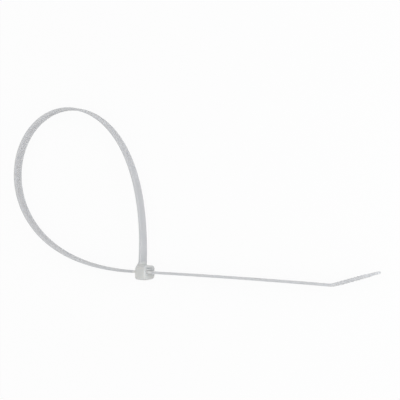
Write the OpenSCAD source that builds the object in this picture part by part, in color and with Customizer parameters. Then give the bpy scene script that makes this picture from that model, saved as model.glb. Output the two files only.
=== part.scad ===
// Cable tie moulded in one piece, closed into a loose loop and lying on its side.
// X runs along the tail, out of the head. Y runs along the strap where it leaves the neck.
// Z is up, across the width of the strap. The origin is in the middle of the slot,
// on the side face of the head that the tie lies on.

/* [Strap] */
// Width of the strap
strap_w = 5; // [3.8:0.1:6.2]
// Thickness of the strap over its rails
strap_t = 1.15; // [1.05:0.05:1.4]
// Width of the plain rail on each side of the teeth
rail_w = 1.1; // [0.8:0.05:1.3]
// Thickness of the web under the teeth
web_t = 0.65; // [0.56:0.01:0.74]
// How far the crests of the teeth lie below the rails
crest_drop = 0.06; // [0.04:0.01:0.12]
// Spacing of the teeth
tooth_pitch = 1.25; // [1.1:0.05:1.4]
// Part of the spacing that the steep face of a tooth takes up
tooth_steep = 0.12; // [0.08:0.01:0.2]
// Part of the spacing that the flat crest of a tooth takes up
tooth_crest = 0.14; // [0.08:0.01:0.2]
// Plain strap between the neck and the first tooth
plain_root = 8; // [4:0.5:15]
// Plain strap between the last tooth and the bend
plain_end = 2.5; // [1.5:0.5:10]

/* [Loop] */
// Length of strap that bends round the loop
loop_len = 242; // [160:2:330]
// How much the strap spreads its bend towards both ends of the loop, in degrees
loop_spread = 0.7; // [0:0.1:2]

/* [Tail] */
// Length of the tail from the middle of the head to the bend
tail_len = 98.6; // [60:0.2:160]
// How far the tail curls back over that length, in degrees
tail_curl = 1.4; // [0:0.1:4]

/* [Grip] */
// Length of the grip from the bend to the tip
grip_len = 23.4; // [18:0.2:32]
// Angle between the tail and the grip
grip_angle = 18.1; // [8:0.1:25]
// Radius of the bend
bend_r = 3; // [2:0.5:6]
// Thickness of the strap at the tip
tip_t = 0.95; // [0.8:0.05:1.05]
// Width of the strap at the tip
tip_w = 2.7; // [2:0.1:3.3]
// Length over which the strap narrows to the tip
tip_taper = 8; // [6:0.5:10]
// Spacing of the ribs across the grip
rib_pitch = 1.6; // [1.4:0.1:2.2]
// Height of the ribs
rib_h = 0.16; // [0.1:0.02:0.24]

/* [Neck] */
// Width of the strap where it meets the head
root_w = 5.4; // [5:0.1:7]
// Thickness of the strap where it meets the head
root_t = 1.3; // [1.2:0.05:1.7]
// Length over which the strap grows to that width and thickness
root_len = 14; // [8:0.5:20]
// How far the toothed face of the strap lies inside the entry face of the head
root_step = 0.77; // [0.6:0.01:1.1]
// Length of the neck that joins the strap to the head
neck_len = 1.9; // [1.4:0.05:3]
// Height of the slope from the toothed face of the strap to the entry face of the head
neck_slope = 1.4; // [0.8:0.1:1.4]
// How far the foot of that slope lies inside the entry face
neck_inset = 0.05; // [0.02:0.01:0.1]
// Radius of the hollow where the back of the strap meets the head
neck_r = 0.55; // [0.3:0.05:0.9]

/* [Head] */
// Height of the head, along the slot
head_h = 5.6; // [5.2:0.1:6.6]
// Wall on each side of the slot
side_wall = 1.75; // [1.4:0.05:2.4]
// Solid wall that the back of the strap slides on
end_wall = 3.15; // [2.4:0.05:3.8]
// Wall between the pocket of the pawl and the neck
root_wall = 1.3; // [1:0.05:1.9]
// Height of the pocket over the strap, where the pawl lifts
pocket_h = 1.45; // [1.4:0.05:1.8]
// Clearance at each edge of the strap in the slot
edge_gap = 0.15; // [0.1:0.01:0.25]
// Clearance behind the strap in the slot
back_gap = 0.12; // [0.08:0.01:0.2]
// Radius of the edges round the entry and exit faces
head_r = 0.6; // [0.4:0.05:0.8]
// Radius of the corners at the end of the head
corner_r = 1.3; // [1.2:0.1:2.2]
// Radius of the corners on each side of the neck
shoulder_r = 2; // [1.4:0.1:2.4]
// Height of the crown on the end of the head, from the exit face
end_crown = 0.66; // [0.3:0.03:0.9]
// Height of the crown on the end of the head, from its sides
side_crown = 0.4; // [0.3:0.05:1]
// How far the top of the crown lies towards the entry face
crown_shift = 0.9; // [0:0.05:1]
// Bevel round the mouth of the slot
mouth_bevel = 0.4; // [0.2:0.05:0.5]

/* [Pawl] */
// Number of teeth on the pawl
pawl_teeth = 3; // [2:1:3]
// Thickness of the block that the pawl hinges on
hinge_t = 0.9; // [0.7:0.05:1]
// Thickness of the pawl above its teeth, at the hinge
pawl_root_t = 1.15; // [1:0.05:1.2]
// Thickness of the pawl above its teeth, at the free end
pawl_end_t = 0.85; // [0.7:0.05:0.95]
// Clearance between the teeth of the pawl and the strap, across the strap
pawl_lift = 0.12; // [0.1:0.01:0.15]
// Clearance between the teeth of the pawl and the strap, along the strap
pawl_back = 0.08; // [0.06:0.01:0.1]
// Clearance at each edge of the pawl
pawl_gap = 0.12; // [0.1:0.01:0.2]

/* [Hidden] */
nylon = [0.86, 0.87, 0.86];

// The strap turns by this much from the neck to the slot, which lies square to the neck
loop_turn = 270;
// Points on each rounded corner, on the rounded edges of the head and over its crown
arc_steps = 6;
round_steps = 3;
crown_steps = 4;
// First two tries for the sway that closes the loop, and the most that are made
sway_low = 26;
sway_high = 30;
sway_tries = 8;
// Part of the distance at which the loop counts as closed
closed = 1e-6;
// A cut runs past the face that it cuts by this much, and a joined piece starts inside it
over = 0.1;
// A curve that runs out into a face ends this far inside it
seam = 0.02;
deg = 180 / PI;

// Head: X from the entry face to the exit face, Y from the end to the neck, Z across
half_t = strap_t / 2;
entry_x = -head_h / 2;
exit_x = head_h / 2;
slot_half = strap_w / 2 + edge_gap;
head_half = slot_half + side_wall;
slot_back_y = -half_t - back_gap;
end_y = slot_back_y - end_wall;
pocket_y = half_t + pocket_h;
top_y = pocket_y + root_wall;
neck_y = top_y + neck_len;
root_x = entry_x + root_step + half_t;

// Strap, measured along its middle from the middle of the head, less than 0 round the loop
run_in = neck_y - root_x;
root_s = -run_in - loop_len;
sunk_s = root_s - neck_len - root_wall / 2;
bend_half = bend_r * tan(grip_angle / 2);
bend_s = tail_len - bend_half;
bend_end_s = bend_s + bend_r * grip_angle / deg;
tip_s = bend_end_s + grip_len - bend_half;
first_tooth = ceil((root_s + plain_root) / tooth_pitch);
last_tooth = floor((bend_s - plain_end) / tooth_pitch) - 1;

// Heights across the strap from its middle, positive towards the teeth
floor_h = web_t - half_t;
crest_h = half_t - crest_drop;
band_half = strap_w / 2 - rail_w;

function along(a) = [cos(a), sin(a)];
function across(a) = [-sin(a), cos(a)];
function limit(v, low, high) = min(max(v, low), high);
function total(list, i = 0, sum = 0) = i == len(list) ? sum : total(list, i + 1, sum + list[i]);

// Direction of the strap at the share u of the loop, for a given sway. A plain circle would
// turn evenly, and the sway straightens both ends and tightens the far side, as in a sprung strip.
function loop_heading(u, sway) =
    -loop_turn * (1 - u) - sway * sin(360 * u) + loop_spread * sin(720 * u);

// Distance between the two ends of the loop, less the distance that the head leaves for it
function miss(sway, n = 120) =
    loop_len * total([for (i = [0:n - 1]) cos(loop_heading((i + 0.5) / n, sway) + loop_turn / 2)]) / n
    - neck_y * sqrt(2);
function close_loop(a, b, tries) =
    tries == 0 || abs(miss(b)) < closed ? b
    : close_loop(b, b - miss(b) * (b - a) / (miss(b) - miss(a)), tries - 1);
loop_sway = close_loop(sway_low, sway_high, sway_tries);

// Direction of the strap at the distance s from the middle of the head
function heading(s) =
    s < -run_in ? loop_heading(max(s - root_s, 0) / loop_len, loop_sway)
    : s < 0 ? 0
    : s < bend_s ? -tail_curl * s / bend_s
    : -tail_curl + limit((s - bend_s) / bend_r * deg, 0, grip_angle);

// Place of the strap at every tooth, summed outwards from the middle of the head
back_count = ceil(-sunk_s / tooth_pitch) + 1;
front_count = ceil(tip_s / tooth_pitch) + 1;
function walk(count, step) =
    [for (i = 0, p = [0, 0]; i <= count; p = p + step * along(heading((i + 0.5) * step)), i = i + 1) p];
back_walk = walk(back_count, -tooth_pitch);
front_walk = walk(front_count, tooth_pitch);
function at_tooth(k) = k < 0 ? back_walk[-k] : front_walk[k];

// Point at the distance s along the strap and the height h across it
function on_strap(s, h) =
    let (k = round(s / tooth_pitch), s0 = k * tooth_pitch)
    at_tooth(k) + (s - s0) * along(heading((s + s0) / 2)) + h * across(heading(s));

// Points on an arc from the angle a to the angle b, without as many at each end as are left out
function arc(centre, r, a, b, left_out = 0) =
    [for (i = [left_out:arc_steps - left_out]) centre + r * along(a + (b - a) * i / arc_steps)];

// A box as wide as half to each side, whose low side is an arc of radius big that runs smoothly
// into corners of radius r0. Its upper corners have the radius r1.
function crowned_box(half, low, high, big, r0, r1) =
    let (
        a = asin((half - r0) / (big - r0)),
        centre = [0, low + big])
    concat(
        arc(centre + (big - r0) * along(270 - a), r0, 180, 270 - a),
        arc(centre, big, 270 - a, 270 + a, 1),
        arc(centre + (big - r0) * along(270 + a), r0, 270 + a, 360),
        arc([half - r1, high - r1], r1, 0, 90),
        arc([r1 - half, high - r1], r1, 90, 180));

// Radius of the arc that rises by a height over a reach
function crown_radius(reach, height) = (pow(reach, 2) + pow(height, 2)) / (2 * height);

// An outline in the XY plane, extruded evenly about the middle of the strap
module slab(points, half) {
    translate([0, 0, -half]) linear_extrude(2 * half) polygon(points);
}

// An outline in the YZ plane, extruded along X
module slab_yz(points, x0, x1) {
    translate([x0, 0, 0]) rotate([90, 0, 90]) linear_extrude(x1 - x0) polygon(points);
}

// Ribs stand across both faces of the grip, up to where it narrows
rib_first_s = bend_end_s + 2 * rib_pitch;
rib_count = floor((tip_s - tip_taper / 2 - rib_first_s) / rib_pitch);
function rib(i) =
    let (s = rib_first_s + i * rib_pitch)
    [[s, 0], [s + 0.2 * rib_pitch, rib_h], [s + 0.4 * rib_pitch, rib_h], [s + 0.6 * rib_pitch, 0]];

// Half the thickness of the strap, which thickens to the neck and thins along the grip
function half_thick(s) =
    half_t + (root_t - strap_t) / 2 * limit(1 - (s - root_s) / root_len, 0, 1)
    - (strap_t - tip_t) / 2 * limit((s - bend_end_s) / (tip_s - bend_end_s), 0, 1);

// Places along the strap where its outline has a corner, each with the height of a rib
strap_stops = concat(
    [[sunk_s, 0]],
    [for (k = [ceil(root_s / tooth_pitch):last_tooth]) [k * tooth_pitch, 0]],
    [for (i = [0:arc_steps]) [bend_s + (bend_end_s - bend_s) * i / arc_steps, 0]],
    [for (i = [0:rib_count - 1]) each rib(i)],
    [[tip_s, 0]]);

// The strap as wide as its root all along
module strap_blank() {
    teeth_side = [for (p = strap_stops) on_strap(p[0], half_thick(p[0]) + p[1])];
    back_side = [for (p = strap_stops) on_strap(p[0], -half_thick(p[0]) - p[1])];
    last = len(strap_stops) - 1;
    slab(concat(back_side, [for (i = [0:last]) teeth_side[last - i]]), root_w / 2);
}

// Space that the strap is cut to across its width: even, but for a stretch that widens to the neck
module strap_width() {
    taper = (root_w - strap_w) / 2 / root_len;
    wide = root_w / 2 + taper * (neck_y - pocket_y);
    narrow = strap_w / 2 - taper * tooth_pitch;
    end = neck_y + root_len + tooth_pitch;
    reach = loop_len + tail_len + grip_len;
    slab([[-reach, -reach], [reach, -reach], [reach, reach], [-reach, reach]], strap_w / 2);
    slab_yz([[pocket_y, -wide], [end, -narrow], [end, narrow], [pocket_y, wide]],
        entry_x - 2 * root_w, exit_x);
}

// A tooth rises steeply on the side of the neck, and slopes down towards the tip
function tooth(k) = [
    [k * tooth_pitch, floor_h],
    [(k + tooth_steep) * tooth_pitch, crest_h],
    [(k + tooth_steep + tooth_crest) * tooth_pitch, crest_h]];

// What is cut out of the toothed face between the rails
module tooth_cut() {
    valleys = concat(
        [[(first_tooth - 1) * tooth_pitch, half_t + over]],
        [for (k = [first_tooth:last_tooth]) each tooth(k)],
        [[(last_tooth + 1) * tooth_pitch, floor_h], [(last_tooth + 2) * tooth_pitch, half_t + over]]);
    lid = [for (k = [first_tooth:last_tooth + 1]) [k * tooth_pitch, half_t + 4 * over]];
    slab(concat(
        [for (p = valleys) on_strap(p[0], p[1])],
        [for (i = [len(lid) - 1:-1:0]) on_strap(lid[i][0], lid[i][1])]), band_half);
}

// What is cut off on both sides of the tip. The taper starts out wider than the strap.
module tip_cut() {
    slope = (strap_w - tip_w) / 2 / (tip_taper - tip_w / 3);
    start = [-2 * tip_taper, strap_w / 2 + slope * tip_taper];
    plan = concat(
        [[start[0], -start[1]]],
        arc([-tip_w / 3, -tip_w / 6], tip_w / 3, 270, 360),
        arc([-tip_w / 3, tip_w / 6], tip_w / 3, 0, 90),
        [start]);
    place = on_strap(tip_s, 0);
    translate([place[0], place[1], 0]) rotate([0, 0, heading(tip_s)]) rotate([90, 0, 0])
        translate([0, 0, -strap_w]) linear_extrude(2 * strap_w) difference() {
            translate([start[0], -strap_w]) square([strap_w - start[0], 2 * strap_w]);
            polygon(plan);
        }
}

module strap() {
    difference() {
        intersection() {
            strap_blank();
            strap_width();
        }
        tooth_cut();
        tip_cut();
    }
}

// Places along X of the outlines of the head, close together where its edges are round
head_stops = concat(
    [for (i = [0:round_steps]) entry_x + head_r * (1 - cos(90 * i / round_steps))],
    [for (i = [1:crown_steps - 1]) entry_x + head_r + (head_h - 2 * head_r) * i / crown_steps],
    [for (i = [round_steps:-1:0]) exit_x - head_r * (1 - cos(90 * i / round_steps))]);

// Outline of the head at the place x. It draws in towards the entry and exit faces, and its end
// is drawn up by the crown.
function head_outline(x) =
    let (
        reach = max(entry_x + head_r - x, x - exit_x + head_r, 0),
        in = head_r - sqrt(max(pow(head_r, 2) - pow(reach, 2), 0)),
        big = crown_radius(head_half, side_crown) - in,
        shift_r = crown_radius(exit_x + crown_shift, end_crown),
        rise = shift_r - sqrt(pow(shift_r, 2) - pow(x + crown_shift, 2)),
        left = 1 - rise / (top_y - end_y))
    [for (p = crowned_box(head_half - in, end_y + in, top_y - in, big, corner_r - in,
        shoulder_r - in)) [x, top_y - (top_y - p[1]) * left, p[0]]];

// Block of the head: a skin over its outlines
module head_block() {
    rings = [for (x = head_stops) head_outline(x)];
    count = len(rings[0]);
    last = count * (len(rings) - 1);
    polyhedron([for (ring = rings) each ring], concat(
        [[for (j = [count - 1:-1:0]) j]],
        [for (i = [0:count:last - count], j = [0:count - 1])
            let (next = (j + 1) % count) each [[i + j, i + next, i + next + count],
                [i + j, i + next + count, i + j + count]]],
        [[for (j = [0:count - 1]) last + j]]));
}

// Neck: the strap slopes out almost to the entry face of the head, and has a hollow curve at its back
module neck() {
    low_x = entry_x + neck_inset;
    face_x = root_x - root_t / 2;
    back_x = root_x + root_t / 2 - seam;
    slope_y = top_y + neck_slope * (face_x + seam - low_x) / (face_x - low_x);
    slab(concat(
        [[low_x, pocket_y], [low_x, top_y], [face_x + seam, slope_y]],
        arc([back_x + neck_r, top_y + neck_r - seam], neck_r, 180, 270),
        [[back_x + neck_r, pocket_y]]), root_w / 2);
}

// Slot with its bevelled mouth, and the pocket over it where the pawl lifts
module slot() {
    slab([[entry_x - over, slot_back_y], [exit_x + over, slot_back_y],
        [exit_x + over, pocket_y], [entry_x + hinge_t, pocket_y],
        [entry_x + hinge_t, half_t + back_gap], [entry_x - over, half_t + back_gap]], slot_half);
    slab([[entry_x - over, slot_back_y - mouth_bevel - over], [entry_x + mouth_bevel, slot_back_y],
        [entry_x + mouth_bevel, 0], [entry_x - over, 0]], slot_half);
}

// Pawl: it hinges at the mouth of the slot and points out of it, so that a pull on the loop
// draws its teeth deeper into the strap
module pawl() {
    hinge_x = entry_x + hinge_t - over;
    rail_y = half_t + pawl_lift;
    last = floor((exit_x - pawl_back) / tooth_pitch) - 1;
    free_x = (last + 1) * tooth_pitch - pawl_back;
    teeth = [for (k = [last - pawl_teeth + 1:last]) each tooth(k)];
    shift = [-pawl_back, pawl_lift];
    slab([[hinge_x, rail_y], [free_x, rail_y], [free_x, rail_y + pawl_end_t * 0.7],
        [free_x - pawl_end_t * 0.3, rail_y + pawl_end_t], [hinge_x, rail_y + pawl_root_t]],
        slot_half - pawl_gap);
    slab(concat(
        [for (p = teeth) p + shift],
        [[(last + 1) * tooth_pitch, floor_h] + shift, [free_x, rail_y + over]],
        [[(last - pawl_teeth + 1) * tooth_pitch - pawl_back, rail_y + over]]),
        band_half - pawl_gap);
}

module head() {
    difference() {
        union() {
            head_block();
            neck();
        }
        slot();
    }
    pawl();
}

module cable_tie() {
    color(nylon) translate([0, 0, head_half]) {
        head();
        strap();
    }
}

cable_tie();
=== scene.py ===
"""The look of a one-piece nylon cable tie, lying on its side with its loop level.

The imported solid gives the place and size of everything. The moulding is made again here as finer
surfaces: the strap is a section carried along its bent middle line, the head is a ring of outlines
that closes through the slot, and the pawl is a profile carried across the slot. They are joined into
one mesh, because the real tie is one moulding.
"""

import bpy
import numpy as np
from mathutils import Matrix, Vector


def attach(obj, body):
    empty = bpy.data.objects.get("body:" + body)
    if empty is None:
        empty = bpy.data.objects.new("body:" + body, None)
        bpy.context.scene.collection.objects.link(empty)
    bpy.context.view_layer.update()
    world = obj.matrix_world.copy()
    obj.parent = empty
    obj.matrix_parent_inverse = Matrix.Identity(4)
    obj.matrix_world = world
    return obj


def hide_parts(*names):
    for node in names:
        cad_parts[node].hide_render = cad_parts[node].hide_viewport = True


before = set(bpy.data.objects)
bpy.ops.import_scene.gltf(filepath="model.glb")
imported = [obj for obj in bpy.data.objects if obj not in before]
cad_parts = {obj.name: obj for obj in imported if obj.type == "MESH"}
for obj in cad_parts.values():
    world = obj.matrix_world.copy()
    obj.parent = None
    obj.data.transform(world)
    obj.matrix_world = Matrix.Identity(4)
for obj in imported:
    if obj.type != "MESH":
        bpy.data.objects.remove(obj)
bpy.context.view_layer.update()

# All sizes below are in millimetres and degrees, as on the solid. MM turns them into metres.
MM = 0.001

# Strap
STRAP_W, STRAP_T = 5.0, 1.15
RAIL_W = 1.1
WEB_T = 0.65
CREST_DROP = 0.06
TOOTH_PITCH = 1.25
TOOTH_STEEP, TOOTH_CREST = 0.12, 0.14
PLAIN_ROOT, PLAIN_END = 8.0, 2.5
EDGE_R = 0.15

# Loop and tail
LOOP_LEN, LOOP_SPREAD, LOOP_TURN = 242.0, 0.7, 270.0
TAIL_LEN, TAIL_CURL = 98.6, 1.4

# Grip: the ribs and their slopes are shares of the rib pitch, TIP_THIN a share of the thickness
GRIP_LEN, GRIP_ANGLE, BEND_R = 23.4, 18.1, 3.0
TIP_T, TIP_W, TIP_TAPER, TIP_THIN = 0.95, 2.7, 8.0, 0.35
RIB_PITCH, RIB_H = 1.6, 0.16
RIB_SHARE, RIB_SLOPE = 0.6, 0.2

# Neck
ROOT_W, ROOT_T, ROOT_LEN = 5.4, 1.3, 14.0
ROOT_STEP, NECK_LEN, NECK_SLOPE = 0.77, 1.9, 1.4
NECK_INSET, NECK_R, NECK_FILLET = 0.05, 0.55, 0.3

# Head: MOUTH_FLARE is the power by which the mouth opens
HEAD_H = 5.6
SIDE_WALL, END_WALL, ROOT_WALL = 1.75, 3.15, 1.3
POCKET_H = 1.45
EDGE_GAP, BACK_GAP = 0.15, 0.12
HEAD_R, CORNER_R, SHOULDER_R = 0.6, 1.3, 2.0
END_CROWN, SIDE_CROWN, CROWN_SHIFT = 0.66, 0.4, 0.9
MOUTH_BEVEL, MOUTH_FLARE, RIM_R = 0.4, 1.5, 0.2

# Pawl
PAWL_TEETH = 3
HINGE_T = 0.9
PAWL_ROOT_T, PAWL_END_T = 1.15, 1.15
PAWL_LIFT, PAWL_BACK, PAWL_GAP = 0.12, 0.08, 0.12
NOSE_R, NOSE_INSET, ARM_EDGE_R = 0.15, 0.1, 0.08

# How far pieces run into each other where they are joined
OVERLAP = 0.1
NECK_SINK = 0.75

# Places across the strap, the head and the slot
HALF_T = STRAP_T / 2
FLOOR_H = WEB_T - HALF_T
CREST_H = HALF_T - CREST_DROP
BAND_HALF = STRAP_W / 2 - RAIL_W
ENTRY_X, EXIT_X = -HEAD_H / 2, HEAD_H / 2
SLOT_HALF = STRAP_W / 2 + EDGE_GAP
HEAD_HALF = SLOT_HALF + SIDE_WALL
SLOT_BACK_Y = -HALF_T - BACK_GAP
END_Y = SLOT_BACK_Y - END_WALL
POCKET_Y = HALF_T + POCKET_H
TOP_Y = POCKET_Y + ROOT_WALL
NECK_Y = TOP_Y + NECK_LEN
ROOT_X = ENTRY_X + ROOT_STEP + HALF_T
MID_Z = HEAD_HALF

# Places along the strap, from 0 at the middle of the head
RUN_IN = NECK_Y - ROOT_X
ROOT_S = -RUN_IN - LOOP_LEN
BEND_HALF = BEND_R * np.tan(np.radians(GRIP_ANGLE / 2))
BEND_S = TAIL_LEN - BEND_HALF
BEND_END_S = BEND_S + BEND_R * np.radians(GRIP_ANGLE)
TIP_S = BEND_END_S + GRIP_LEN - BEND_HALF
TIP_R = TIP_W / 3
FIRST_TOOTH = int(np.ceil((ROOT_S + PLAIN_ROOT) / TOOTH_PITCH))
LAST_TOOTH = int(np.floor((BEND_S - PLAIN_END) / TOOTH_PITCH)) - 1

# One tooth with its edges rounded: shares of its pitch, and how far it has risen there from floor to crest
TOOTH_TOP = TOOTH_STEEP + TOOTH_CREST
TOOTH_AT = (0, 0.015, TOOTH_STEEP - 0.02, TOOTH_STEEP + 0.01, TOOTH_TOP - 0.01, TOOTH_TOP + 0.03, 0.97, 1)
TOOTH_RISE = (0, 0.03, 0.95, 1, 1, 0.97, 0.02, 0)
SLOPE_AT = 0.62

# The wall from the rail down to the teeth: how far it lies past their band's edge, at each share of its depth
BAND_WALL = ((0.1, 0), (0.02, 0.08), (0, 0.3), (-0.03, 0.88), (-0.09, 1))

# Fineness of the mesh: points on the middle line, the plain strap's steps, and the least step left in
LINE_POINTS = 20001
PLAIN_STEP = 0.6
LEAST_STEP = 0.008
# Steps along each rounded corner of the head, and along each straight side between two
CORNER_STEPS = 8
RUN_STEPS = 12
# Edges that bend by more than this many degrees are sharp
SHARP_ANGLE = 32


def loop_heading(u, sway):
    """Direction of the strap at the share u of the loop.

    It is an even turn, less one wave of sway that straightens both ends, and a small double wave.
    """
    even = -LOOP_TURN * (1 - u)
    return even - sway * np.sin(2 * np.pi * u) + LOOP_SPREAD * np.sin(4 * np.pi * u)


def loop_miss(sway, steps=120):
    """How far the ends of the loop are apart, less the distance that the head leaves for them."""
    u = (np.arange(steps) + 0.5) / steps
    along = np.cos(np.radians(loop_heading(u, sway) + LOOP_TURN / 2))
    return LOOP_LEN * along.mean() - NECK_Y * np.sqrt(2)


def close_loop(first_guess=26.0, second_guess=30.0, near_enough=1e-6):
    """The sway at which the loop closes on the head: a line through two tries gives the next one."""
    a, b = first_guess, second_guess
    while abs(loop_miss(b)) > near_enough:
        a, b = b, b - loop_miss(b) * (b - a) / (loop_miss(b) - loop_miss(a))
    return b


LOOP_SWAY = close_loop()


def heading(s):
    """Direction of the strap, in degrees, at the distance s from the middle of the head.

    The loop has its own formula. The tail turns evenly by its curl, and the bend adds the grip's angle.
    """
    u = np.clip((s - ROOT_S) / LOOP_LEN, 0, 1)
    bend = np.clip(np.degrees((s - BEND_S) / BEND_R), 0, GRIP_ANGLE)
    tail = -TAIL_CURL * np.clip(s / BEND_S, 0, 1) + bend
    return np.where(s < -RUN_IN, loop_heading(u, LOOP_SWAY), tail)


def middle_line():
    """The middle line of the strap as fine arrays: its directions summed up, with the head's middle at 0."""
    s = np.linspace(ROOT_S - NECK_LEN * 2, TIP_S, LINE_POINTS)
    turn = np.radians(heading((s[1:] + s[:-1]) / 2))
    step = np.diff(s)
    x = np.concatenate([[0], np.cumsum(np.cos(turn) * step)])
    y = np.concatenate([[0], np.cumsum(np.sin(turn) * step)])
    return s, x - np.interp(0, s, x), y - np.interp(0, s, y)


LINE_S, LINE_X, LINE_Y = middle_line()


def on_strap(s, h, w):
    """Points at the distance s along the strap, the height h towards its teeth and w across its width."""
    turn = np.radians(heading(s))
    x = np.interp(s, LINE_S, LINE_X) - h * np.sin(turn)
    y = np.interp(s, LINE_S, LINE_Y) + h * np.cos(turn)
    return np.stack([x, y, MID_Z + w], axis=-1)


def ease(t):
    """0 below 0, 1 above 1, and a smooth S between."""
    t = np.clip(t, 0, 1)
    return t * t * (3 - 2 * t)


def soft_clip(t, softness=0.06):
    """0 below 0 and t up to 1, turning smoothly about 0 as a hyperbola does."""
    return np.minimum((t + np.sqrt(t ** 2 + softness ** 2)) / 2, 1)


def quarter_in(depth, r):
    """How far a quarter circle of radius r has come in at a depth of 0 to r from its end, and 0 past r."""
    return r - np.sqrt(r ** 2 - np.clip(r - depth, 0, r) ** 2)


def mesh_object(name, points, faces):
    """A closed mesh from an (n, 3) array in millimetres and its faces, turned so that it points outwards.

    Each triangle spans a signed volume with the origin, and on a mesh that points inwards they add up
    to less than 0.
    """
    mesh = bpy.data.meshes.new(name)
    mesh.from_pydata((points * MM).tolist(), [], faces)
    mesh.validate()
    mesh.update()
    obj = bpy.data.objects.new(name, mesh)
    bpy.context.scene.collection.objects.link(obj)
    quads = np.array([face for face in faces if len(face) == 4])
    corners = points[np.concatenate([quads[:, [0, 1, 2]], quads[:, [0, 2, 3]]])]
    volume = np.einsum("ij,ij->i", corners[:, 0], np.cross(corners[:, 1], corners[:, 2])).sum()
    if volume < 0:
        mesh.flip_normals()
    return obj


def grid_faces(rows, cols, close_rows=False):
    """Quads of a grid whose columns run round, and whose rows close too if asked."""
    row = np.arange(rows if close_rows else rows - 1)[:, None]
    col = np.arange(cols)[None, :]
    next_row, next_col = (row + 1) % rows, (col + 1) % cols
    corners = [row * cols + col, row * cols + next_col, next_row * cols + next_col, next_row * cols + col]
    return np.stack([corner.ravel() for corner in corners], axis=1).tolist()


def tube(name, rings):
    """A closed skin over an (n, m, 3) array of rings, with a flat lid on both ends."""
    n, m, _ = rings.shape
    faces = grid_faces(n, m)
    faces.append(list(range(m))[::-1])
    faces.append([(n - 1) * m + i for i in range(m)])
    return mesh_object(name, rings.reshape(-1, 3), faces)


def tooth_stations():
    """Distances along the strap that show each tooth well: where its shape turns, and once on its slope."""
    shares = np.array(TOOTH_AT[:-1] + (SLOPE_AT,))
    teeth = np.arange(FIRST_TOOTH, LAST_TOOTH + 1)[:, None]
    return ((teeth + shares) * TOOTH_PITCH).ravel()


def band_height(s):
    """Height of the toothed band: it rises steeply to a crest and slopes down, and closes at both ends."""
    rise = np.interp(np.mod(s / TOOTH_PITCH, 1), TOOTH_AT, TOOTH_RISE)
    height = FLOOR_H + rise * (CREST_H - FLOOR_H)
    first, last = FIRST_TOOTH * TOOTH_PITCH, (LAST_TOOTH + 1) * TOOTH_PITCH
    closed = np.clip((first - s) / TOOTH_PITCH, 0, 1) + np.clip((s - last) / TOOTH_PITCH, 0, 1)
    outside = (s < first) | (s > last)
    return np.where(outside, FLOOR_H + closed * (HALF_T - FLOOR_H), height)


def rib_height(s):
    """Height of the ribs on the grip: a bar with eased slopes on each spacing, up to the narrowing tip."""
    first = BEND_END_S + 2 * RIB_PITCH
    count = np.floor((TIP_S - TIP_TAPER / 2 - first) / RIB_PITCH)
    t = (s - first) / RIB_PITCH
    part = np.mod(t, 1)
    bar = ease(part / RIB_SLOPE) * ease((RIB_SHARE - part) / RIB_SLOPE)
    return RIB_H * bar * ((t >= 0) & (t < count))


def strap_stations():
    """Distances along the strap at which its section is set, close together where the section changes."""
    top_s = ROOT_S - NECK_LEN
    slope_s = top_s + NECK_SLOPE
    s = np.concatenate([
        # The end sunk in the head, the neck's hollow, its slope, and the strap up to the teeth
        [top_s - NECK_SINK, top_s - 0.3],
        top_s + NECK_R * (1 - np.cos(np.linspace(0, np.pi / 2, 10))),
        np.linspace(top_s + NECK_R, slope_s + 0.6, 16),
        np.linspace(slope_s + 0.8, ROOT_S + 2, 6),
        np.arange(ROOT_S + 2, FIRST_TOOTH * TOOTH_PITCH, PLAIN_STEP),
        tooth_stations(),
        # The plain end of the tail, the bend, the ribs, the narrowing tip and its round end
        np.linspace((LAST_TOOTH + 1) * TOOTH_PITCH, BEND_S, 5),
        np.linspace(BEND_S, BEND_END_S, 9),
        np.arange(BEND_END_S, TIP_S - TIP_TAPER / 2, RIB_PITCH / 10),
        np.linspace(TIP_S - TIP_TAPER, TIP_S - TIP_R, 16),
        TIP_S - TIP_R * (1 - np.sin(np.linspace(0, np.pi / 2 - 0.05, 10)))])
    s = np.unique(np.round(s, 4))
    return s[np.concatenate([[True], np.diff(s) > LEAST_STEP])]


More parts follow.
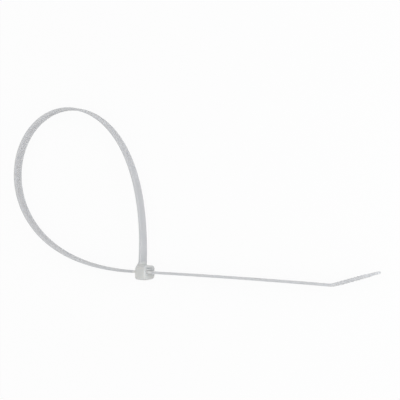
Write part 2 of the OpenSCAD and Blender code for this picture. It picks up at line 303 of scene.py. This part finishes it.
def strap_rings():
    """The section of the strap at every station: half of it as 17 points, mirrored to the other side."""
    s = strap_stations()
    # The strap thickens and widens evenly to the neck, and thins along the grip
    grow = np.clip(1 - (s - ROOT_S) / ROOT_LEN, 0, 1)
    grip = np.clip((s - BEND_END_S) / (TIP_S - BEND_END_S), 0, 1)
    half = HALF_T + (ROOT_T - STRAP_T) / 2 * grow - (STRAP_T - TIP_T) / 2 * grip + rib_height(s)
    width = STRAP_W / 2 + (ROOT_W - STRAP_W) / 2 * grow
    # The neck slopes out to the entry face, and is hollow at its back and a little at its sides
    up = s - (ROOT_S - NECK_LEN)
    front = half + (ROOT_STEP - (ROOT_T - STRAP_T) / 2 - NECK_INSET) * soft_clip(1 - up / NECK_SLOPE)
    back = half + quarter_in(up, NECK_R)
    width = width + quarter_in(up, NECK_FILLET)
    # The tip: evenly narrower, with a round end that is a little thinner
    taper = np.clip((s - TIP_S + TIP_TAPER) / TIP_TAPER, 0, 1)
    past = np.clip((s - TIP_S + TIP_R) / TIP_R, 0, 1)
    rounding = 1 - np.sqrt(1 - past ** 2)
    narrow = STRAP_W / 2 - (STRAP_W - TIP_W) / 2 * taper - TIP_R * rounding
    width = np.where(s > TIP_S - TIP_TAPER, narrow, width)
    thin = 1 - TIP_THIN * rounding
    front, back = front * thin, back * thin
    r = EDGE_R * thin
    # The band of teeth between the rails
    band = np.minimum(BAND_HALF, width - 2 * r)
    toothed = (s > (FIRST_TOOTH - 1) * TOOTH_PITCH) & (s < (LAST_TOOTH + 2) * TOOTH_PITCH)
    tooth = np.where(toothed, np.minimum(band_height(s), front), front)
    drop = front - tooth
    zero = np.zeros_like(s)
    # Half the section, from the middle of the back round the edge to the middle of the teeth
    points = [(zero, -back), (0.6 * width, -back), (width - r, -back)]
    for a in np.radians([30, 60, 90]):
        points.append((width - r + r * np.sin(a), -back + r * (1 - np.cos(a))))
    for a in np.radians([0, 30, 60, 90]):
        points.append((width - r + r * np.cos(a), front - r + r * np.sin(a)))
    points += [(band + aside, front - depth * drop) for aside, depth in BAND_WALL]
    points += [(0.45 * band, tooth), (zero, tooth)]
    w = np.stack([point[0] for point in points], axis=1)
    h = np.stack([point[1] for point in points], axis=1)
    w = np.concatenate([w, -w[:, -2:0:-1]], axis=1)
    h = np.concatenate([h, h[:, -2:0:-1]], axis=1)
    return on_strap(s[:, None] * np.ones_like(w), h, w)


def crown_radius(reach, height):
    """Radius of the arc that rises by a height over a reach."""
    return (reach ** 2 + height ** 2) / (2 * height)


def arc(z, y, r, start, end, steps=CORNER_STEPS):
    """Points on an arc about (z, y), from the angle start to end in degrees, as rows of y and z."""
    a = np.radians(np.linspace(start, end, steps + 1))
    return np.column_stack([y + r * np.sin(a), z + r * np.cos(a)])


def run(first, last):
    """Points between two others, close together near both, spaced as the cosine of an even half turn."""
    t = 0.5 - 0.5 * np.cos(np.pi * np.linspace(0, 1, RUN_STEPS + 2)[1:-1, None])
    return first * (1 - t) + last * t


def outline(low, high, half, low_r, high_r, crown_r=None):
    """Round the section of the head: round corners, and a low side that is crowned or straight.

    A crowned side is an arc of radius crown_r that the corners of radius low_r run on from smoothly.
    """
    if crown_r:
        lean = np.degrees(np.arcsin((half - low_r) / (crown_r - low_r)))
        z = half - low_r
        y = low + crown_r - (crown_r - low_r) * np.cos(np.radians(lean))
        bottom = arc(0, low + crown_r, crown_r, 270 - lean, 270 + lean, RUN_STEPS + 1)[1:-1]
    else:
        lean, z, y = 0, half - low_r, low + low_r
        bottom = run(np.array([low, -z]), np.array([low, z]))
    left_low, right_low = arc(-z, y, low_r, 180, 270 - lean), arc(z, y, low_r, 270 + lean, 360)
    right_high = arc(half - high_r, high - high_r, high_r, 0, 90)
    left_high = arc(high_r - half, high - high_r, high_r, 90, 180)
    return np.concatenate([
        left_low, bottom, right_low, run(right_low[-1], right_high[0]), right_high,
        run(right_high[-1], left_high[0]), left_high, run(left_high[-1], left_low[0])])


def head_outline(x, inset):
    """The head's outside at x, drawn in by an inset.

    Its end is an arc along x too, lowest a little before the middle and rising to both faces. What lies
    between the end and the top rises in proportion.
    """
    side_r = crown_radius(HEAD_HALF, SIDE_CROWN)
    shift_r = crown_radius(EXIT_X + CROWN_SHIFT, END_CROWN)
    flat = outline(
        END_Y + inset, TOP_Y - inset, HEAD_HALF - inset, CORNER_R - inset, SHOULDER_R - inset, side_r - inset)
    rise = shift_r - np.sqrt(shift_r ** 2 - (x + CROWN_SHIFT) ** 2)
    flat[:, 0] = TOP_Y - (TOP_Y - flat[:, 0]) * (1 - rise / (TOP_Y - END_Y))
    return flat


def slot_outline(low, high, widen=0.0, r=RIM_R):
    """The slot between two heights, with its rounded corners, widened at both sides if asked."""
    return outline(low, high, SLOT_HALF + widen, r, r)


def head_rings():
    """The head as outlines that run round its outside, over the exit face, back through the slot and home."""
    rings = []

    def add(x, flat):
        rings.append(np.column_stack([np.full(len(flat), x), flat[:, 0], MID_Z + flat[:, 1]]))

    def outside(x, inset):
        add(x, head_outline(x, inset))

    # The outside, with a quarter circle at both faces
    quarter = np.radians(np.linspace(90, 0, 8))
    for a in quarter:
        outside(ENTRY_X + HEAD_R * (1 - np.sin(a)), HEAD_R * (1 - np.cos(a)))
    for x in np.linspace(ENTRY_X + HEAD_R, EXIT_X - HEAD_R, 12)[1:-1]:
        outside(x, 0)
    for a in quarter[::-1]:
        outside(EXIT_X - HEAD_R * (1 - np.sin(a)), HEAD_R * (1 - np.cos(a)))
    # The slot's rim on the exit face, and the pocket back to the hinge
    for a in np.radians(np.linspace(90, 0, 6)):
        open_by = RIM_R * (1 - np.cos(a))
        flat = slot_outline(SLOT_BACK_Y - open_by, POCKET_Y + open_by, open_by)
        add(EXIT_X - RIM_R * (1 - np.sin(a)), flat)
    step_x, mouth_y = ENTRY_X + HINGE_T, HALF_T + BACK_GAP
    for x in np.linspace(EXIT_X - RIM_R, step_x, 8)[1:]:
        add(x, slot_outline(SLOT_BACK_Y, POCKET_Y))
    # The step down to the mouth, which flares out at the back to the entry face
    add(step_x, slot_outline(SLOT_BACK_Y, mouth_y + RIM_R))
    add(step_x - RIM_R, slot_outline(SLOT_BACK_Y, mouth_y))
    for t in (0, 0.25, 0.5, 0.75):
        back_y = SLOT_BACK_Y - MOUTH_BEVEL * t ** MOUTH_FLARE
        add(ENTRY_X + MOUTH_BEVEL * (1 - t), slot_outline(back_y, mouth_y))
    add(ENTRY_X, slot_outline(SLOT_BACK_Y - MOUTH_BEVEL, mouth_y + RIM_R, RIM_R, 2 * RIM_R))
    return np.stack(rings)


def bar(name, profile, half, r):
    """A profile in the XY plane carried across the slot, drawn in at both ends by a quarter circle."""
    centre = profile.mean(axis=0)
    reach = np.abs(profile - centre).max()
    rings = []
    for a in np.radians([0, 30, 60, 90]):
        shrink = 1 - r * (1 - np.sin(a)) / reach
        ring = centre + (profile - centre) * shrink
        rings.append(np.column_stack([ring, np.full(len(ring), MID_Z - half + r * (1 - np.cos(a)))]))
    mirrored = [np.column_stack([ring[:, :2], 2 * MID_Z - ring[:, 2]]) for ring in rings[::-1]]
    return tube(name, np.stack(rings + mirrored))


def pawl_bars():
    """The pawl: an arm as wide as the slot, and the toothed bar under it that fits between the rails.

    The arm is a four-sided profile with a quarter circle at its nose. The bar repeats the strap's teeth.
    """
    last = int(np.floor((EXIT_X - PAWL_BACK) / TOOTH_PITCH)) - 1
    first = last - PAWL_TEETH + 1
    hinge_x, rail_y = ENTRY_X + HINGE_T - OVERLAP, HALF_T + PAWL_LIFT
    nose_x = EXIT_X - NOSE_INSET
    turn = np.radians(np.linspace(0, 90, 5))
    nose = np.column_stack([
        nose_x - NOSE_R * (1 - np.cos(turn)), rail_y + PAWL_END_T - NOSE_R * (1 - np.sin(turn))])
    arm = np.concatenate([[[hinge_x, rail_y], [nose_x, rail_y]], nose, [[hinge_x, rail_y + PAWL_ROOT_T]]])
    corners = np.array([0, TOOTH_STEEP, TOOTH_TOP])
    teeth_x = ((np.arange(first, last + 1)[:, None] + corners) * TOOTH_PITCH).ravel()
    teeth_y = np.tile([FLOOR_H, CREST_H, CREST_H], PAWL_TEETH)
    end = [[(last + 1) * TOOTH_PITCH, FLOOR_H]]
    teeth = np.concatenate([np.column_stack([teeth_x, teeth_y]), end]) + [-PAWL_BACK, PAWL_LIFT]
    roof = [[(last + 1) * TOOTH_PITCH - PAWL_BACK, rail_y + OVERLAP],
            [first * TOOTH_PITCH - PAWL_BACK, rail_y + OVERLAP]]
    return [bar("pawl_arm", arm, SLOT_HALF - PAWL_GAP, ARM_EDGE_R),
            bar("pawl_teeth", np.concatenate([teeth, roof]), BAND_HALF - PAWL_GAP, 0.0)]


def join(base, others):
    """Fuses the others into base as one closed skin, and drops them."""
    for other in others:
        union = base.modifiers.new("fuse", "BOOLEAN")
        union.operation = "UNION"
        union.solver = "MANIFOLD"
        union.object = other
    bpy.context.view_layer.update()
    fused = bpy.data.meshes.new_from_object(base.evaluated_get(bpy.context.evaluated_depsgraph_get()))
    base.modifiers.clear()
    base.data = fused
    for other in others:
        bpy.data.objects.remove(other)


def make_tie():
    """The whole moulding as one piece, smooth but for its real edges."""
    rings = head_rings()
    faces = grid_faces(rings.shape[0], rings.shape[1], close_rows=True)
    tie = mesh_object("tie_moulding", rings.reshape(-1, 3), faces)
    strap = tube("strap", strap_rings())
    join(tie, [strap] + pawl_bars())
    tie.data.name = "tie_moulding"
    tie.data.shade_smooth()
    tie.data.set_sharp_from_angle(angle=np.radians(SHARP_ANGLE))
    return tie


def add_node(tree, kind, inputs, **settings):
    """A new node: its settings first, then each input linked to another node's output or set to a value."""
    node = tree.nodes.new(kind)
    for name, value in settings.items():
        setattr(node, name, value)
    for name, value in inputs.items():
        if isinstance(value, bpy.types.NodeSocket):
            tree.links.new(value, node.inputs[name])
        else:
            node.inputs[name].default_value = value
    return node


def maths(tree, operation, *values):
    """What a Math node makes of one to three numbers."""
    return add_node(tree, "ShaderNodeMath", dict(enumerate(values)), operation=operation).outputs[0]


def vector_maths(tree, operation, *values):
    """What a Vector Math node makes of one or two vectors: a number for a distance or cosine."""
    node = add_node(tree, "ShaderNodeVectorMath", dict(enumerate(values)), operation=operation)
    return node.outputs["Value" if operation in ("DISTANCE", "DOT_PRODUCT") else "Vector"]


def carried(tree, value, start=0.0, end=1.0, low=0.0, high=1.0, along="LINEAR"):
    """A value carried from the range start to end into the range low to high, and held there at both ends."""
    inputs = {"Value": value, "From Min": start, "From Max": end, "To Min": low, "To Max": high}
    return add_node(tree, "ShaderNodeMapRange", inputs, interpolation_type=along).outputs["Result"]


def clouds(tree, place, scale, detail):
    """Soft noise over the piece's own coordinates."""
    inputs = {"Vector": place, "Scale": scale, "Detail": detail}
    return add_node(tree, "ShaderNodeTexNoise", inputs).outputs["Fac"]


def blended(tree, share, first, second):
    """One colour that turns into another by a share."""
    inputs = {"Factor": share, "A": first, "B": second}
    return add_node(tree, "ShaderNodeMix", inputs, data_type="RGBA").outputs["Result"]


def in_box(tree, place, low, high):
    """1 inside a box given in millimetres, 0 outside, and eased over the outermost tenth.

    It goes by the largest offset from the middle on any axis, as a share of the half size there.
    """
    low, high = np.array(low) * MM, np.array(high) * MM
    centred = vector_maths(tree, "SUBTRACT", place, (low + high) / 2)
    shares = vector_maths(tree, "ABSOLUTE", vector_maths(tree, "DIVIDE", centred, (high - low) / 2))
    along_x, along_y, along_z = add_node(tree, "ShaderNodeSeparateXYZ", {0: shares}).outputs
    largest = maths(tree, "MAXIMUM", maths(tree, "MAXIMUM", along_x, along_y), along_z)
    return carried(tree, largest, 1.0, 0.9, along="SMOOTHSTEP")


# Natural nylon: the strap's two tones, the head's tone with painted light, and the painted light on the skin
# inside the slot and its pocket
STRAP_TONES = ((0.503, 0.513, 0.533, 1), (0.523, 0.532, 0.551, 1))
HEAD_PAINTED_TONE = (0.718, 0.724, 0.704, 1)
SLOT_PAINTED_LIGHT = (0.97, 0.96, 0.93, 1)
# Where the head's painted light and its shorter glow under the skin hold: fully up to the near distance from
# its middle, and not at all past the far one
HEAD_MIDDLE_Y, HEAD_NEAR, HEAD_FAR = -1.0, 5.0, 6.6
# Where the painted light in the slot holds: in the box round the slot and its pocket, with these margins
MARGIN, BACK_MARGIN, SIDE_MARGIN = 0.2, 0.4, 0.3
SLOT_PAINTED_LOW = (ENTRY_X + HINGE_T - MARGIN, SLOT_BACK_Y - BACK_MARGIN, MID_Z - SLOT_HALF - SIDE_MARGIN)
SLOT_PAINTED_HIGH = (EXIT_X + MARGIN, POCKET_Y + MARGIN, MID_Z + SLOT_HALF + SIDE_MARGIN)
# The skin: its roughness from and to, and its grain. Noise scales are counts to the metre
ROUGH_LOW, ROUGH_HIGH = 0.44, 0.58
GRAIN_SCALE, GRAIN_STRENGTH, GRAIN_H = 2600.0, 0.12, 0.04
CLOUD_SCALE = 60.0
# How far light wanders under the skin, in the strap and in the head, and how its colours share that
STRAP_GLOW, HEAD_GLOW = 8.0, 3.0
GLOW_COLOURS = (1.0, 0.95, 0.9)
NYLON_IOR = 1.53


def nylon():
    """Natural nylon: milky and satin, with painted light that makes the thick head whiter than the thin strap
    and the inside of the slot whiter still.
    """
    mat = bpy.data.materials.new("natural_nylon")
    mat.use_nodes = True
    tree = mat.node_tree
    shader = tree.nodes["Principled BSDF"]
    place = tree.nodes.new("ShaderNodeTexCoord").outputs["Object"]
    # The strap: faint clouds of a cool light grey
    strap = add_node(tree, "ShaderNodeValToRGB", {"Fac": clouds(tree, place, CLOUD_SCALE, 4.0)})
    for element, position, tone in zip(strap.color_ramp.elements, (0.3, 0.7), STRAP_TONES):
        element.position = position
        element.color = tone
    # The head: painted light, a whiter grey for the light scattered through its thick nylon, by the distance
    # from the middle of the head
    far = vector_maths(tree, "DISTANCE", place, (0, HEAD_MIDDLE_Y * MM, MID_Z * MM))
    thick = carried(tree, far, HEAD_FAR * MM, HEAD_NEAR * MM, along="SMOOTHSTEP")
    tone = blended(tree, thick, strap.outputs["Color"], HEAD_PAINTED_TONE)
    # Painted light inside the slot and its pocket: the skin there is made whitest, for the light that gets to
    # it through the walls around
    tone = blended(tree, in_box(tree, place, SLOT_PAINTED_LOW, SLOT_PAINTED_HIGH), tone, SLOT_PAINTED_LIGHT)
    tree.links.new(tone, shader.inputs["Base Color"])
    # The skin as it left the mould: fine grain, a little uneven in its shine
    grain = clouds(tree, place, GRAIN_SCALE, 3.0)
    tree.links.new(carried(tree, grain, low=ROUGH_LOW, high=ROUGH_HIGH), shader.inputs["Roughness"])
    bump = add_node(tree, "ShaderNodeBump", {
        "Strength": GRAIN_STRENGTH, "Distance": GRAIN_H * MM, "Height": grain})
    tree.links.new(bump.outputs["Normal"], shader.inputs["Normal"])
    shader.inputs["IOR"].default_value = NYLON_IOR
    # Light wanders further through the thin strap than through the head
    shader.inputs["Subsurface Weight"].default_value = 1.0
    shader.inputs["Subsurface Radius"].default_value = GLOW_COLOURS
    reach = carried(tree, thick, low=STRAP_GLOW * MM, high=HEAD_GLOW * MM)
    tree.links.new(reach, shader.inputs["Subsurface Scale"])
    return mat


# Camera fitted to the photograph: where it stands, its own axes and its focal length in pixels
CAMERA_AT = (362.2396, 15.137, 537.7526)
CAMERA_RIGHT = (0.850034, 0.040517, -0.525168)
CAMERA_UP = (-0.018162, 0.998699, 0.047652)
CAMERA_F_PX = 1366.551
FRAME_PX = 400
SENSOR_MM = 36.0


def add_camera():
    """The camera of the photograph, over the table and turned so that the tail runs to the right."""
    data = bpy.data.cameras.new("camera")
    data.sensor_width = SENSOR_MM
    data.lens = CAMERA_F_PX / FRAME_PX * SENSOR_MM
    data.clip_end = 10
    camera = bpy.data.objects.new("camera", data)
    right = Vector(CAMERA_RIGHT)
    up = Vector(CAMERA_UP)
    back = right.cross(up)
    turn = Matrix((right, up, back)).transposed().to_4x4()
    at = Vector(CAMERA_AT) + Vector((0, 0, MID_Z))
    camera.matrix_world = Matrix.Translation(at * MM) @ turn
    bpy.context.scene.collection.objects.link(camera)
    bpy.context.scene.camera = camera


# Floor and lights, in metres: the floor's half size and the share of its own white that the camera sees
FLOOR_HALF = 3.0
FLOOR_COLOUR = (0.9, 0.9, 0.9, 1)
FLOOR_WHITE_SHARE = 0.93
WHITE = (1, 1, 1, 1)
# The soft lights round the table: direction, strength and colour of each, and the power that narrows them
SOFT_LIGHTS = (
    ((0.75, 0.0, 0.66), 0.20, (0.96, 1.0, 1.07)),
    ((0.0, 0.0, 1.0), 0.78, (1.00, 1.0, 1.00)),
    ((0.0, 1.0, 0.15), 0.36, (1.02, 1.0, 0.98)),
    ((0.0, -1.0, 0.15), 0.36, (1.00, 1.0, 0.98)))
LIGHT_POWER = 3.0
LAMP_AT, LAMP_AIM = (0.36, 0.03, 0.10), (0.02, 0.03, 0)
LAMP_ENERGY, LAMP_SIZE = 0.36, 0.25
LAMP_COLOUR = (0.97, 1.0, 1.04)


def seen_rays(tree):
    """1 for rays that come straight from the camera, a reflection or a see-through surface, else 0."""
    path = tree.nodes.new("ShaderNodeLightPath").outputs
    plain = maths(tree, "MAXIMUM", path["Is Camera Ray"], path["Is Glossy Ray"])
    return maths(tree, "MAXIMUM", plain, path["Is Transmission Ray"])


def add_floor():
    """A plain white floor. What the camera sees is mostly white of its own, and keeps a faint shadow."""
    mesh = bpy.data.meshes.new("floor")
    corners = [(x * FLOOR_HALF, y * FLOOR_HALF, 0) for x, y in ((-1, -1), (1, -1), (1, 1), (-1, 1))]
    mesh.from_pydata(corners, [], [(0, 1, 2, 3)])
    floor = bpy.data.objects.new("floor", mesh)
    bpy.context.scene.collection.objects.link(floor)
    mat = bpy.data.materials.new("floor_white")
    mat.use_nodes = True
    tree = mat.node_tree
    tree.nodes.clear()
    matt = add_node(tree, "ShaderNodeBsdfDiffuse", {"Color": FLOOR_COLOUR})
    white = add_node(tree, "ShaderNodeEmission", {"Strength": 1.0})
    share = maths(tree, "MULTIPLY", seen_rays(tree), FLOOR_WHITE_SHARE)
    mix = add_node(tree, "ShaderNodeMixShader", {"Fac": share, 1: matt.outputs[0], 2: white.outputs[0]})
    add_node(tree, "ShaderNodeOutputMaterial", {"Surface": mix.outputs[0]})
    mesh.materials.append(mat)


def add_world():
    """Wide soft lights, each a power of (1 + cosine) / 2 about its direction, added up; white where seen."""
    world = bpy.data.worlds.new("studio")
    bpy.context.scene.world = world
    world.use_nodes = True
    tree = world.node_tree
    tree.nodes.clear()
    sky = tree.nodes.new("ShaderNodeTexCoord").outputs["Generated"]
    total = None
    for towards, strength, colour in SOFT_LIGHTS:
        cosine = vector_maths(tree, "DOT_PRODUCT", sky, Vector(towards).normalized())
        lobe = maths(tree, "POWER", maths(tree, "MULTIPLY_ADD", cosine, 0.5, 0.5), LIGHT_POWER)
        level = maths(tree, "MULTIPLY", lobe, strength)
        light = add_node(tree, "ShaderNodeBackground", {"Color": (*colour, 1), "Strength": level}).outputs[0]
        total = add_node(tree, "ShaderNodeAddShader", {0: total, 1: light}).outputs[0] if total else light
    white = add_node(tree, "ShaderNodeBackground", {"Color": WHITE}).outputs[0]
    mix = add_node(tree, "ShaderNodeMixShader", {"Fac": seen_rays(tree), 1: total, 2: white})
    add_node(tree, "ShaderNodeOutputWorld", {"Surface": mix.outputs[0]})


def add_lamp():
    """A soft round lamp beyond the tail, whose light falls off a little towards the far side of the loop."""
    lamp = bpy.data.lights.new("soft_lamp", "AREA")
    lamp.shape = "DISK"
    lamp.size = LAMP_SIZE
    lamp.energy = LAMP_ENERGY
    lamp.color = LAMP_COLOUR
    holder = bpy.data.objects.new("soft_lamp", lamp)
    holder.location = LAMP_AT
    holder.rotation_euler = (Vector(LAMP_AIM) - Vector(LAMP_AT)).to_track_quat("-Z", "Y").to_euler()
    holder.visible_glossy = False
    bpy.context.scene.collection.objects.link(holder)


add_camera()
add_world()
add_lamp()
add_floor()
tie = make_tie()
tie.data.materials.clear()
tie.data.materials.append(nylon())
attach(tie, "root")
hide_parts("cable_tie")
bpy.context.scene.view_settings.view_transform = "Standard"
